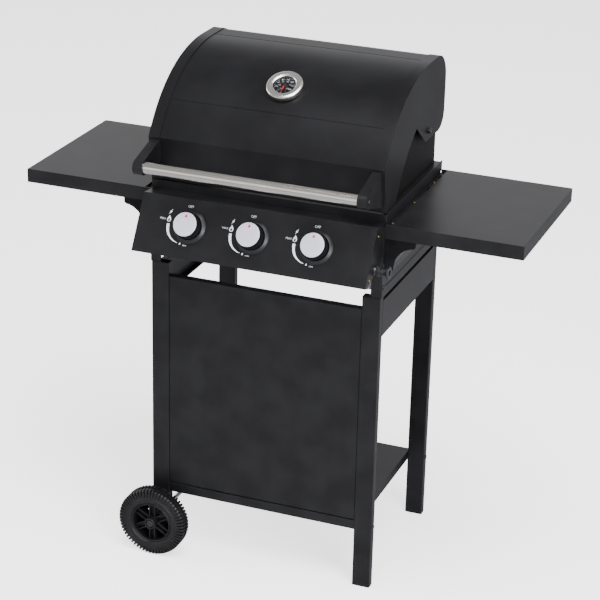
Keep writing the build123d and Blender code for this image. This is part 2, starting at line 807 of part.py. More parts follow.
def side_table(side):
    """Folded sheet table, with a sunk and slotted strip where it is screwed on."""
    table = pan(table_x, table_y, (table_top - table_lip, table_top), thin_sheet, "bottom")
    table = fillet(table.faces().sort_by(Axis.Z)[-1].edges(), 1.0)
    inner, width, depth = table_x[0], *table_ledge
    strip_y = (table_y[0] + table_ledge_inset, table_y[1] - table_ledge_inset)
    strip_z = table_top - depth
    wall = thin_sheet
    table += block(
        (inner, inner + width + wall),
        (strip_y[0] - wall, strip_y[1] + wall),
        (strip_z - wall, table_top - 1),
    )
    table -= block((inner - 1, inner + width), strip_y, (strip_z, table_top + 1))
    for y in table_slot_y:
        slot_x = (inner + table_screw_in - 2, inner + table_screw_in + 2)
        table -= block(slot_x, (y - 10, y + 10), (strip_z - 5, strip_z + 1))
    return mirrored(table, side)


def table_bracket(side):
    """Hollow bracket under a table, with a cove along its lower side."""
    inner, high = side_x[1], table_top - table_lip
    cove = make_face(
        Wire(
            [
                Line((inner, bracket_low), (inner, high)),
                Line((inner, high), (bracket_reach, high)),
                Line((bracket_reach, high), (bracket_reach, high - 12)),
                ThreePointArc(
                    (bracket_reach, high - 12), (bracket_reach - 2, high - 15), (323.0, high - 17)
                ),
                ThreePointArc((323.0, high - 17), (296.0, 790.0), (283.0, 762.0)),
                Line((283.0, 762.0), (281.0, bracket_low)),
                Line((281.0, bracket_low), (inner, bracket_low)),
            ]
        )
    )
    depth = 183.0
    shell = along_y(cove, (-depth, depth))
    shell -= along_y(offset(cove, amount=-sheet, kind=Kind.INTERSECTION), (sheet - depth, depth - sheet))
    shell -= block(
        (inner - 1, inner + 2), (20 - depth, depth - 20), (bracket_low + 5, high - 5)
    )
    return mirrored(shell, side)


# ---- write every node ----
os.makedirs("parts", exist_ok=True)
nodes = {}

for side_name, side in sides.items():
    nodes[f"leg_front_{side_name}"] = leg(side, -1)
    nodes[f"leg_back_{side_name}"] = leg(side, 1)
    nodes[f"side_apron_{side_name}"] = side_apron(side)
    nodes[f"firebox_side_{side_name}"] = firebox_side(side)
    nodes[f"cooking_grate_{side_name}"] = cooking_grate(side)
    nodes[f"lid_end_{side_name}"] = lid_end(side)
    nodes[f"handle_bracket_{side_name}"] = handle_bracket(side)
    nodes[f"side_table_{side_name}"] = side_table(side)
    nodes[f"table_bracket_{side_name}"] = table_bracket(side)

for end_name, end in {"front": -1, "back": 1}.items():
    nodes[f"tyre_{end_name}"] = tyre(end)
    nodes[f"wheel_hub_{end_name}"] = wheel_hub(end)

for station, x in stations.items():
    nodes[f"knob_{station}"] = knob(x)
    nodes[f"knob_face_{station}"] = knob_face(x)
    nodes[f"valve_stem_{station}"] = valve_stem(x)
    nodes[f"stem_collar_{station}"] = stem_collar(x)

nodes["leg_plugs"] = leg_plugs()
nodes["bottom_shelf"] = bottom_shelf()
nodes["front_panel"] = front_panel()
nodes["rear_rail"] = rear_rail()
nodes["cart_bolts"] = cart_bolts()
nodes["axle"] = axle()
nodes["axle_nuts"] = axle_nuts()
nodes["firebox_tub"] = firebox_tub()
nodes["lid_support"] = lid_support()
nodes["hinge_pins"] = hinge_pins()
nodes["grease_tray"] = grease_tray()
nodes["burners"] = burners()
nodes["flame_tamers"] = flame_tamers()
nodes["warming_rack"] = warming_rack()
nodes["igniters"] = igniters()
nodes["control_panel"] = control_panel()
nodes["brass_screws"] = brass_screws()
nodes["knob_bezels"] = knob_bezels()
nodes["gas_valves"] = gas_valves()
nodes["gas_manifold"] = gas_manifold()
nodes["gas_inlet"] = gas_inlet()
nodes["lid_skin"] = lid_skin()
nodes["thermometer_case"] = thermometer_case()
nodes["thermometer_lens"] = thermometer_lens()
nodes["thermometer_needle"] = thermometer_needle()
nodes["handle_bar"] = handle_bar()

export_all(nodes)
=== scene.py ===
# Gas barbecue grill: finishes, small parts and studio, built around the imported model.
import bpy
import bmesh
import json
from math import cos, hypot, pi, radians, sin
from mathutils import Matrix, Vector


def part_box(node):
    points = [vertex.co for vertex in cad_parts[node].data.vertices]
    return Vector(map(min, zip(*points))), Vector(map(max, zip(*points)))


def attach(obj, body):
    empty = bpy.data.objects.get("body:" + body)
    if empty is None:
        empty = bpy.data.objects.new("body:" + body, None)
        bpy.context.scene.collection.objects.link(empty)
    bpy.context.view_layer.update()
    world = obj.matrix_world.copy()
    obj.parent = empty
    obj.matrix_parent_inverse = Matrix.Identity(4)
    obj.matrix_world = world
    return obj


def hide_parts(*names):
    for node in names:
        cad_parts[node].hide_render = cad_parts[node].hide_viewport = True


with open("model.json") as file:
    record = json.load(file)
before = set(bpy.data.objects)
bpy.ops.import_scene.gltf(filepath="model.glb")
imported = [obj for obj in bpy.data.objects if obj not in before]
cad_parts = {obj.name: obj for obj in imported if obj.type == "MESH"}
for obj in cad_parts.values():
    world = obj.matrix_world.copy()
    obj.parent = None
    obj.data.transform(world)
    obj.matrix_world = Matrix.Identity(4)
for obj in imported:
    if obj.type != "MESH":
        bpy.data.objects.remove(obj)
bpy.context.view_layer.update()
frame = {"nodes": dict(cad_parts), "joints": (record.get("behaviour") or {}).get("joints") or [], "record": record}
nodes = frame["nodes"]
joints = {joint["name"]: joint for joint in frame["joints"]}
mounts = {mount["name"]: mount for mount in frame["record"]["mounts"]}
slotOf = {part["node"]: part["material_slot"] for part in frame["record"]["subparts"]}
mm = 0.001
stations = ("left", "middle", "right")
print("frame loaded:", len(nodes), "nodes")


# Colours and shader nodes.
def linearColour(hexColour):  # sRGB hex to the linear colour that a shader takes
    parts = [int(hexColour[i:i + 2], 16) / 255 for i in (1, 3, 5)]
    curved = [c / 12.92 if c <= 0.04045 else ((c + 0.055) / 1.055) ** 2.4 for c in parts]
    return (*curved, 1.0)


# Adds a node: settings fill its properties or free inputs, links join earlier outputs to inputs.
def addNode(tree, kind, settings=None, links=None):
    node = tree.nodes.new("ShaderNode" + kind)
    for name, value in (settings or {}).items():
        if isinstance(name, int) or name in node.inputs:
            node.inputs[name].default_value = value
        else:
            setattr(node, name, value)
    for name, source in (links or {}).items():
        tree.links.new(source, node.inputs[name])
    return node


def startMaterial(name, surface):
    material = bpy.data.materials.new(name)
    material.use_nodes = True
    tree = material.node_tree
    shader = tree.nodes["Principled BSDF"]
    for socket, value in surface.items():
        shader.inputs[socket].default_value = value
    place = addNode(tree, "TexCoord").outputs["Object"]
    return material, tree, shader, place


# Joins one pattern to colour, roughness and relief: two close tones, uneven gloss and a low bump.
def finishWith(tree, shader, look, patches, grain):
    tone = addNode(tree, "ValToRGB", links={"Fac": patches})
    low, high = tone.color_ramp.elements
    low.color, high.color = linearColour(look["deep"]), linearColour(look["light"])
    low.position, high.position = look.get("edges", (0.35, 0.65))
    gloss = addNode(
        tree, "MapRange", {"To Min": look["rough"][0], "To Max": look["rough"][1]}, {"Value": grain}
    )
    relief = addNode(tree, "Bump", {"Distance": look["reliefMm"] * mm}, {"Height": grain})
    tree.links.new(tone.outputs["Color"], shader.inputs["Base Color"])
    tree.links.new(gloss.outputs["Result"], shader.inputs["Roughness"])
    tree.links.new(relief.outputs["Normal"], shader.inputs["Normal"])


# Sprayed, moulded, cast or plated surface: soft patches of tone under a fine even grain.
def evenFinish(name, look):
    material, tree, shader, place = startMaterial(name, look.get("surface", {}))
    patches = addNode(
        tree, "TexNoise", {"Scale": 1 / (look["patchMm"] * mm), "Detail": 3.0}, {"Vector": place}
    )
    grain = addNode(
        tree, "TexNoise", {"Scale": 1 / (look["grainMm"] * mm), "Detail": 2.0}, {"Vector": place}
    )
    finishWith(tree, shader, look, patches.outputs["Fac"], grain.outputs["Fac"])
    return material


# Hot-dipped sheet: flat crystals of metal, each with its own tone.
def spangledFinish(name, look):
    material, tree, shader, place = startMaterial(name, look["surface"])
    crystals = addNode(tree, "TexVoronoi", {"Scale": 1 / (look["patchMm"] * mm)}, {"Vector": place})
    grain = addNode(
        tree, "TexNoise", {"Scale": 1 / (look["grainMm"] * mm), "Detail": 3.0}, {"Vector": place}
    )
    finishWith(tree, shader, look, crystals.outputs["Color"], grain.outputs["Fac"])
    return material


# Belt-brushed metal: long scratches along x.
def brushedFinish(name, look):
    material, tree, shader, place = startMaterial(name, look["surface"])
    across = 1 / (look["grainMm"] * mm)
    stretched = addNode(
        tree, "Mapping", {"Scale": (1 / (look["strokeMm"] * mm), across, across)}, {"Vector": place}
    )
    scratches = addNode(
        tree, "TexNoise", {"Scale": 1.0, "Detail": 4.0}, {"Vector": stretched.outputs["Vector"]}
    )
    grain = scratches.outputs["Fac"]
    finishWith(tree, shader, look, grain, grain)
    return material


# Metal spun on a lathe: fine rings round the piece's own z axis.
def spunFinish(name, look):
    material, tree, shader, place = startMaterial(name, look["surface"])
    flat = addNode(tree, "Mapping", {"Scale": (1.0, 1.0, 0.0)}, {"Vector": place})
    reach = addNode(
        tree, "VectorMath", {"operation": "LENGTH"}, {"Vector": flat.outputs["Vector"]}
    )
    rings = addNode(
        tree, "TexNoise",
        {"noise_dimensions": "1D", "Scale": 1 / (look["grainMm"] * mm), "Detail": 3.0},
        {"W": reach.outputs["Value"]},
    )
    grain = rings.outputs["Fac"]
    finishWith(tree, shader, look, grain, grain)
    return material


# One finish for each real material; patch, grain and relief sizes are in mm.
finishes = {
    # Polyester powder coat, sprayed and baked: satin black, with an orange peel that softens
    # every highlight.
    # The real peel is about 1.2 mm from crest to crest; it is drawn at 2.5 mm so that it shows.
    "powderCoat": evenFinish("SatinPowderCoat", {
        "deep": "#101011", "light": "#161618", "patchMm": 60, "grainMm": 2.5,
        "reliefMm": 0.035, "rough": (0.34, 0.42), "surface": {"IOR": 1.28}}),
    # The lid's coat is a heat-resistant one, a little smoother, so the thermometer mirrors in it
    # faintly.
    "lidCoat": evenFinish("HeatResistantCoat", {
        "deep": "#0f0f10", "light": "#151517", "patchMm": 90, "grainMm": 2.5,
        "reliefMm": 0.025, "rough": (0.34, 0.42), "surface": {"IOR": 1.23}}),
    # The table brackets are coated thinly and smoothly; their coat is painted darker than the powder coat, with a
    # weaker reflection, as painted shade for the cove under the tables: dark face on, paler along the curve.
    "bracketShadedCoat": evenFinish("BracketCoatPaintedShade", {
        "deep": "#0d0d0e", "light": "#121214", "patchMm": 60, "grainMm": 2.5,
        "reliefMm": 0.02, "rough": (0.16, 0.22), "surface": {"IOR": 1.14}}),
    # The wings under the lid have the same coat, painted near black and dull: painted shade for the wings recessed
    # behind the lid's end plates.
    "wingShadedCoat": evenFinish("WingCoatPaintedShade", {
        "deep": "#070708", "light": "#0b0b0c", "patchMm": 40, "grainMm": 2.5,
        "reliefMm": 0.04, "rough": (0.5, 0.62), "surface": {"IOR": 1.2}}),
    # Vitreous enamel on the grates, fired glass: deep black, wet gloss, small waves.
    "enamel": evenFinish("VitreousEnamel", {
        "deep": "#0f0f10", "light": "#151516", "patchMm": 12, "grainMm": 3,
        "reliefMm": 0.08, "rough": (0.12, 0.24), "surface": {"IOR": 1.52}}),
    # Moulded ABS with a fine spark-eroded grain: dark, dull, with soft broad highlights.
    # The grain is 0.3 mm in the mould; it is drawn at 0.9 mm.
    "abs": evenFinish("MouldedABS", {
        "deep": "#0d0d0e", "light": "#131315", "patchMm": 25, "grainMm": 0.9,
        "reliefMm": 0.04, "rough": (0.36, 0.48), "surface": {"IOR": 1.3}}),
    # Polished ABS on the knobs' bezels: black, with one broad soft highlight down the slope.
    "glossAbs": evenFinish("PolishedABS", {
        "deep": "#111113", "light": "#151517", "patchMm": 20, "grainMm": 4,
        "reliefMm": 0.02, "rough": (0.34, 0.42), "surface": {"IOR": 1.42}}),
    # Blow-moulded polyethylene wheels: waxy charcoal, cloudy, with a slight flow texture.
    "wheelPlastic": evenFinish("MouldedPolyethylene", {
        "deep": "#0a0a0b", "light": "#101012", "patchMm": 18, "grainMm": 1.4,
        "reliefMm": 0.06, "rough": (0.38, 0.52), "surface": {"IOR": 1.38}}),
    # Silver lacquer over moulded ABS: pale lilac grey with fine metal flake under the clear coat.
    # The flake is 0.05 mm; it is drawn at 0.6 mm.
    "silverLacquer": evenFinish("SilverLacquer", {
        "deep": "#b9b9c4", "light": "#cdcdd7", "edges": (0.3, 0.7), "patchMm": 0.6, "grainMm": 0.8,
        "reliefMm": 0.015, "rough": (0.3, 0.42), "surface": {"IOR": 1.5, "Metallic": 0.35}}),
    # Yellow chromate over zinc: dull warm gold with faint drifting bands.
    "yellowZinc": evenFinish("YellowZincPlate", {
        "deep": "#6b5a34", "light": "#927c4c", "patchMm": 3, "grainMm": 0.8,
        "reliefMm": 0.02, "rough": (0.3, 0.44), "surface": {"Metallic": 1.0}}),
    # Black oxide on turned and cold-headed steel: near black with an oily sheen. The oxide hides
    # the metal, so it is drawn as a dark coat.
    "blackOxide": evenFinish("BlackOxideSteel", {
        "deep": "#141416", "light": "#1d1d20", "patchMm": 4, "grainMm": 0.7,
        "reliefMm": 0.02, "rough": (0.26, 0.4), "surface": {"IOR": 1.4}}),
    # Bright zinc plate on the axle: cool grey mirror, slightly cloudy.
    "brightZinc": evenFinish("BrightZincPlate", {
        "deep": "#a4a8ae", "light": "#c6c9ce", "patchMm": 5, "grainMm": 0.8,
        "reliefMm": 0.02, "rough": (0.2, 0.34), "surface": {"Metallic": 1.0}}),
    # Machined brass of the gas taps: yellow, with tool marks too fine to see singly.
    "brass": evenFinish("MachinedBrass", {
        "deep": "#a8843f", "light": "#c79f58", "patchMm": 6, "grainMm": 0.5,
        "reliefMm": 0.02, "rough": (0.22, 0.36), "surface": {"Metallic": 1.0}}),
    # Aluminised sheet: dull silver with a small frosty spangle.
    "aluminised": spangledFinish("AluminisedSheet", {
        "deep": "#7f8183", "light": "#9d9fa1", "edges": (0.2, 0.8), "patchMm": 5, "grainMm": 1.2,
        "reliefMm": 0.03, "rough": (0.34, 0.5), "surface": {"Metallic": 1.0}}),
    # Chromed wire of the warming rack: mirror bright with small ripples of the drawn wire.
    "chrome": evenFinish("ChromedWire", {
        "deep": "#bfc1c4", "light": "#d6d8da", "patchMm": 8, "grainMm": 2,
        "reliefMm": 0.02, "rough": (0.06, 0.14), "surface": {"Metallic": 1.0}}),
    # Glazed ceramic of the spark electrodes: warm white glass with tiny pits.
    "ceramic": evenFinish("GlazedCeramic", {
        "deep": "#d9d4c8", "light": "#ece8de", "patchMm": 3, "grainMm": 0.6,
        "reliefMm": 0.02, "rough": (0.1, 0.2), "surface": {"IOR": 1.52}}),
    # Belt-brushed stainless of the handle: warm silver with scratches along the bar.
    # The real scratches are 0.1 mm apart; they are drawn 0.6 mm apart.
    "brushedSteel": brushedFinish("BrushedStainless", {
        "deep": "#bcb7ae", "light": "#e8e4dc", "edges": (0.3, 0.7), "grainMm": 0.6, "strokeMm": 60,
        "reliefMm": 0.015, "rough": (0.16, 0.26), "surface": {"Metallic": 1.0}}),
    # Spun stainless of the thermometer: bright rings that fan the light round the dial.
    "spunSteel": spunFinish("SpunStainless", {
        "deep": "#c6c3bd", "light": "#ebe9e4", "edges": (0.3, 0.7), "grainMm": 0.5,
        "reliefMm": 0.02, "rough": (0.18, 0.3), "surface": {"Metallic": 1.0}}),
    # Matt black dial lacquer under the glass.
    "dialBlack": evenFinish("DialLacquer", {
        "deep": "#0b0b0d", "light": "#101013", "patchMm": 6, "grainMm": 0.5,
        "reliefMm": 0.01, "rough": (0.45, 0.6), "surface": {"IOR": 1.3}}),
    # White pad-printing ink: thin, dead flat, a little uneven where it covers the coat.
    "whiteInk": evenFinish("WhitePadInk", {
        "deep": "#cfd2d8", "light": "#e6e8ec", "patchMm": 2, "grainMm": 0.5,
        "reliefMm": 0.01, "rough": (0.45, 0.6), "surface": {"IOR": 1.48}}),
    # Red stoving enamel of the pointer and the knobs' marks: clear strong red with a soft gloss.
    "redEnamel": evenFinish("RedEnamel", {
        "deep": "#b00812", "light": "#c4101b", "patchMm": 2, "grainMm": 0.6,
        "reliefMm": 0.01, "rough": (0.36, 0.46), "surface": {"IOR": 1.4}}),
    # Clear float glass of the dial's window.
    "clearGlass": evenFinish("ClearGlass", {
        "deep": "#f2f5f4", "light": "#fbfcfc", "patchMm": 10, "grainMm": 8,
        "reliefMm": 0.003, "rough": (0.0, 0.03),
        "surface": {"IOR": 1.25, "Transmission Weight": 1.0}}),
}

finishOfSlot = {
    "black_coat": "powderCoat", "black_enamel": "enamel", "stainless": "brushedSteel",
    "aluminised": "aluminised", "chrome_wire": "chrome", "black_plastic": "abs",
    "tyre_plastic": "wheelPlastic", "knob_silver": "silverLacquer", "brass": "brass",
    "yellow_zinc": "yellowZinc", "black_zinc": "blackOxide", "zinc_steel": "brightZinc",
    "ceramic": "ceramic", "lens": "clearGlass", "needle_red": "redEnamel",
}
# Nodes whose coat differs from the rest of their slot, by the start of their name.
coatOfNode = {
    "lid_skin": "lidCoat", "lid_end_": "lidCoat", "lid_support": "wingShadedCoat",
    "table_bracket_": "bracketShadedCoat",
}

# Folded and moulded edges are eased, so that they catch the light: width in mm for each kind of
# node.
easedEdges = {
    "lid_skin": 0.4, "lid_end_": 0.8, "control_panel": 0.6, "firebox_tub": 0.5,
    "firebox_side_": 0.5, "side_table_": 0.4, "table_bracket_": 0.5, "handle_bracket_": 2.4,
    "side_apron_": 0.6,
    "rear_rail": 0.6, "bottom_shelf": 0.4, "front_panel": 0.4, "leg_plugs": 0.6, "lid_support": 0.4,
    "grease_tray": 0.4, "cooking_grate_": 0.8,
}


def easeEdges(piece, width, steps=2, weld=True):
    if weld:
        join = piece.modifiers.new("Join", "WELD")
        join.merge_threshold = 0.005 * mm
    bevel = piece.modifiers.new("Ease", "BEVEL")
    bevel.width = width * mm
    bevel.segments = steps
    bevel.limit_method = "ANGLE"
    bevel.angle_limit = radians(40)
    bevel.harden_normals = True
    smooth = piece.modifiers.new("Shade", "WEIGHTED_NORMAL")
    smooth.keep_sharp = True


for name, node in nodes.items():
    finish = finishOfSlot[slotOf[name]]
    for start, coat in coatOfNode.items():
        if name.startswith(start):
            finish = coat
    for holder in node.material_slots:
        holder.material = finishes[finish]
    for start, width in easedEdges.items():
        if name.startswith(start):
            easeEdges(node, width)
print("finishes made:", len(finishes))


# Mesh helpers; lengths are in mm, in the piece's own frame.
def frameAt(origin, up, right=(1, 0, 0)):  # places a piece: its z along up, its x towards right
    up = Vector(up).normalized()
    side = up.cross(Vector(right)).normalized()
    turn = Matrix((side.cross(up), side, up)).transposed()
    return Matrix.Translation(origin) @ turn.to_4x4()


def eased(points, cut, closed):  # cuts each corner of a profile and rounds it with two points
    if not cut:
        return points
    made = []
    for i, here in enumerate(points):
        before, after = points[i - 1], points[(i + 1) % len(points)]
        if not closed and i in (0, len(points) - 1):
            made.append(here)
            continue
        for other in (before, after):
            reach = hypot(other[0] - here[0], other[1] - here[1])
            share = min(cut / reach, 0.4)
            made.append(tuple(here[k] + (other[k] - here[k]) * share for k in (0, 1)))
        middle = [(made[-2][k] + made[-1][k] + 2 * here[k]) / 4 for k in (0, 1)]
        made.insert(-1, tuple(middle))
    return made


# Turns (radius, height) points round z. A profile that starts and ends on the axis makes a solid.
def turned(profile, cut=0.0, steps=72, shape=None):
    shape = shape or bmesh.new()
    onAxis = profile[0][0] == 0 and profile[-1][0] == 0
    points = eased(profile, cut, not onAxis)
    rings = []
    for radius, height in points:
        count = 1 if radius == 0 else steps
        ring = []
        for i in range(count):
            angle = 2 * pi * i / count
            ring.append(shape.verts.new(
                (radius * mm * cos(angle), radius * mm * sin(angle), height * mm)))
        rings.append(ring)
    pairs = list(zip(rings, rings[1:]))
    if not onAxis:
        pairs.append((rings[-1], rings[0]))
    for lower, upper in pairs:
        for i in range(steps):
            j = (i + 1) % steps
            corners = [
                lower[i % len(lower)], lower[j % len(lower)],
                upper[j % len(upper)], upper[i % len(upper)],
            ]
            shape.faces.new(list(dict.fromkeys(corners)))  # one corner where a ring is a point
    bmesh.ops.recalc_face_normals(shape, faces=shape.faces)
    return shape


# Carries a closed (x, y) outline from one height to another.
def prism(outline, low, high, shape=None, place=None):
    shape = shape or bmesh.new()
    place = place or Matrix()
    lower = [shape.verts.new(place @ Vector((x * mm, y * mm, low * mm))) for x, y in outline]
    upper = [shape.verts.new(place @ Vector((x * mm, y * mm, high * mm))) for x, y in outline]
    faces = [shape.faces.new(lower[::-1]), shape.faces.new(upper)]
    for i in range(len(outline)):
        j = (i + 1) % len(outline)
        faces.append(shape.faces.new((lower[i], lower[j], upper[j], upper[i])))
    bmesh.ops.recalc_face_normals(shape, faces=faces)
    return shape


def slab(x, y, z, shape, place=None):  # box between two values on each axis
    (x0, x1), (y0, y1) = x, y
    return prism([(x0, y0), (x1, y0), (x1, y1), (x0, y1)], *z, shape, place)


def hexagon(acrossFlats):
    reach = acrossFlats / 3 ** 0.5
    return [(reach * cos(pi * i / 3), reach * sin(pi * i / 3)) for i in range(6)]


def spin(angle):  # turn round z
    return Matrix.Rotation(angle, 4, "Z")


def meshFrom(shape, name, finish):
    mesh = bpy.data.meshes.new(name)
    shape.to_mesh(mesh)
    shape.free()
    mesh.materials.append(finishes[finish])
    mesh.shade_smooth()
    mesh.set_sharp_from_angle(angle=radians(35))
    return mesh


def addPiece(name, shape, finish, body, place=None, stands=(), ease=None):
    mesh = shape if isinstance(shape, bpy.types.Mesh) else meshFrom(shape, name, finish)
    piece = bpy.data.objects.new(name, mesh)
    bpy.context.scene.collection.objects.link(piece)
    piece.matrix_world = place or Matrix()
    if ease:
        easeEdges(piece, ease, weld=False)
    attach(piece, body)
    if stands:
        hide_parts(*stands)
    return piece


# Reads where each separate solid of a node is: (lowest corner, highest corner) of every island.
def islandsOf(node):
    shape = bmesh.new()
    shape.from_mesh(nodes[node].data)
    bmesh.ops.remove_doubles(shape, verts=shape.verts, dist=0.005 * mm)
    left, islands = set(shape.verts), []
    while left:
        edge, seen = [left.pop()], []
        while edge:
            vertex = edge.pop()
            seen.append(vertex.co.copy())
            for link in vertex.link_edges:
                other = link.other_vert(vertex)
                if other in left:
                    left.remove(other)
                    edge.append(other)
        islands.append(tuple(
            Vector([pick(v[k] for v in seen) for k in range(3)]) for pick in (min, max)))
    shape.free()
    return sorted(islands, key=lambda box: tuple(round(c, 4) for c in box[0]))


# Wheels; heights are from the tyre's middle plane.
wheel = {
    "wall": [(47, 16), (48.4, 18), (49.2, 17.1), (50.2, 18.3), (55, 19), (59.2, 18.8), (60, 17.8),
             (61, 18.5), (65, 16.4), (70, 14), (75.8, 10.5)],
    "lug": [(61.5, 17.4), (64, 18.7), (76.5, 16.6), (79, 14), (79, 3.5), (72, 3.5), (68, 12)],
    "lugs": 60, "lugShare": 0.58, "lugFlare": (1.12, 0.92), "lugKnee": 70,
    "hubRim": [(43, -17), (47.2, -17), (47.2, 16), (46, 17.4), (44, 17.4), (43, 15)],
    "backPlate": [(26, -17), (44, -17), (44, -15), (26, -15)],
    "boss": [(5.1, -18.8), (13, -18.8), (14, -4), (13, 22), (12.2, 23), (10.2, 23), (9.4, 21.5),
             (9.4, 18), (5.1, 18)],
    "spokes": 6, "spokeReach": (12, 43.8), "spokeWidth": 15.0, "railWidth": 2.6,
    "spokeWeb": (-3, 2), "railHeight": (-9, 10),
}


def tyreShape():  # each lug stands across the shoulder; the two rows are half a lug apart
    wall = wheel["wall"]
    shape = turned(wall + [(r, -h) for r, h in wall[::-1]], 0.3, 104)
    pitch = 2 * pi / wheel["lugs"]
    atWall, atTread = wheel["lugFlare"]
    section = wheel["lug"]
    for end in (-1, 1):
        for i in range(wheel["lugs"]):
            middle = (i + (0.5 if end > 0 else 0)) * pitch
            rows = []
            for edge in (-1, 1):
                row = []
                for radius, height in section:
                    flare = atWall if radius < wheel["lugKnee"] else atTread
                    angle = middle + edge * pitch * wheel["lugShare"] / 2 * flare
                    row.append(shape.verts.new(
                        (radius * mm * cos(angle), radius * mm * sin(angle), end * height * mm)))
                rows.append(row)
            faces = [shape.faces.new(rows[0]), shape.faces.new(rows[1][::-1])]
            for j in range(len(section)):
                k = (j + 1) % len(section)
                faces.append(shape.faces.new((rows[0][j], rows[1][j], rows[1][k], rows[0][k])))
            bmesh.ops.recalc_face_normals(shape, faces=faces)
    return shape


def hubShape():
    shape = turned(wheel["hubRim"], 0.5)
    turned(wheel["backPlate"], 0.3, shape=shape)
    turned(wheel["boss"], 0.4, shape=shape)
    half, rail = wheel["spokeWidth"] / 2, wheel["railWidth"]
    webHalf = half - rail * 0.8
    for i in range(wheel["spokes"]):
        turn = spin(2 * pi * i / wheel["spokes"] + pi / 2)
        slab(wheel["spokeReach"], (-webHalf, webHalf), wheel["spokeWeb"], shape, turn)
        for side in (-1, 1):
            edge = sorted((side * half, side * (half - rail)))
            slab(wheel["spokeReach"], edge, wheel["railHeight"], shape, turn)
    return shape


for end, outward in (("front", -1), ("back", 1)):
    place = frameAt(joints[f"{end}_wheel_spin"]["pos_m"], (0, outward, 0))
    body = f"{end}_wheel"
    addPiece(f"tyre_tread_{end}", tyreShape(), "wheelPlastic", body, place,
             (f"tyre_{end}",), 0.45)
    addPiece(f"wheel_spokes_{end}", hubShape(), "wheelPlastic", body, place,
             (f"wheel_hub_{end}",), 0.6)

# Push-on caps outside the wheels and spacer tubes beside the legs, on the axle.
axleEnd = {
    "cap": [(0, -0.2), (8, -0.2), (8, 2.4), (5.6, 3.9), (0, 4.5)], "capHeight": 10.0,
    "spacer": 9.0, "bore": 5.0,
}
for number, (low, high) in enumerate(islandsOf("axle_nuts")):
    middle = (low + high) / 2
    outward = -1 if middle.y < 0 else 1
    place = frameAt((middle.x, low.y if outward > 0 else high.y, middle.z), (0, outward, 0))
    long = (high.y - low.y) / mm
    if long < axleEnd["capHeight"]:
        shape = turned(axleEnd["cap"], 0.4, 48)
    else:
        bore, spacer = axleEnd["bore"], axleEnd["spacer"]
        shape = turned([(bore, 0), (spacer, 0), (spacer, long), (bore, long)], 0.3, 48)
    addPiece(f"axle_nut_{number}", shape, "blackOxide", "cart", place,
             ("axle_nuts",) if number == 0 else (), 0.4)
print("wheels made")


# Knobs and the panel's prints; heights are from the panel's face.
knob = {
    "grip": [(4.2, 9), (27, 9), (27, 11.6), (26.3, 13), (25.9, 28), (25.4, 29.9), (4.2, 29.9)],
    "face": [(0, 29.8), (25.5, 29.8), (25.5, 31.2), (24.4, 32.3), (14, 32.95), (0, 33.2)],
    "bezel": [(28, 0), (36, 0), (36, 1.2), (35.4, 2.2), (33, 4.2), (30, 6.4), (28.8, 6.9),
              (28.1, 6.2)],
    "markAt": 16.2, "markSize": (5.4, 5.0), "markHeight": (32.4, 33.06),
}
flame = [(0, 1.0), (0.28, 0.62), (0.44, 0.3), (0.47, 0.02), (0.36, -0.26), (0.14, -0.4),
         (-0.14, -0.4), (-0.36, -0.26), (-0.46, 0.02), (-0.4, 0.28), (-0.2, 0.6)]
# Places are across and up from the knob's axis, on the panel's face. The arc is a list of
# (clock angle, radius, width).
prints = {
    "shift": (2.0, 2.0), "low": -0.05, "height": 0.09,
    "words": [("OFF", (-9, 41), 5.4), ("MIN", (-6.2, -42), 3.6), ("MAX", (-65.5, 8.2), 4.6)],
    "flameAt": (-52, 7.0), "flameSize": 10.0, "coreAt": (-52, 6.1), "coreSize": 5.0,
    "smallFlameAt": (-17, -40), "smallFlameSize": 3.6,
    "spark": [(3.6, 6.2), (-2.6, 0.4), (-0.4, 0.2), (-3.6, -5.6), (3.0, 1.2), (0.8, 1.6)],
    "sparkAt": (-51, 24),
    "arc": [(269, 51.7, 6.2), (262, 51.9, 5.9), (252, 52.0, 5.2), (243, 51.6, 4.3),
            (234, 50.2, 3.4), (225, 48.4, 2.5), (218, 46.7, 1.7), (211, 44.6, 0.8)],
}


def scaled(outline, size, at=(0, 0)):
    return [(x * size + at[0], y * size + at[1]) for x, y in outline]


def addWord(shape, word, at, height, low, thick):  # raised lettering, centred on a place
    curve = bpy.data.curves.new("word", "FONT")
    curve.body, curve.size = word, height * 1.38 * mm  # 1.38 makes height that of a capital
    curve.align_x, curve.align_y = "CENTER", "CENTER"
    curve.resolution_u = 3
    curve.offset = -height * 0.025 * mm  # thins the strokes
    curve.extrude = thick / 2 * mm
    holder = bpy.data.objects.new("word", curve)
    bpy.context.scene.collection.objects.link(holder)
    letters = bpy.data.meshes.new_from_object(holder)
    letters.transform(Matrix.Translation(Vector((at[0], at[1], low + thick / 2)) * mm))
    shape.from_mesh(letters)
    bpy.data.objects.remove(holder)
    bpy.data.meshes.remove(letters)
    bpy.data.curves.remove(curve)


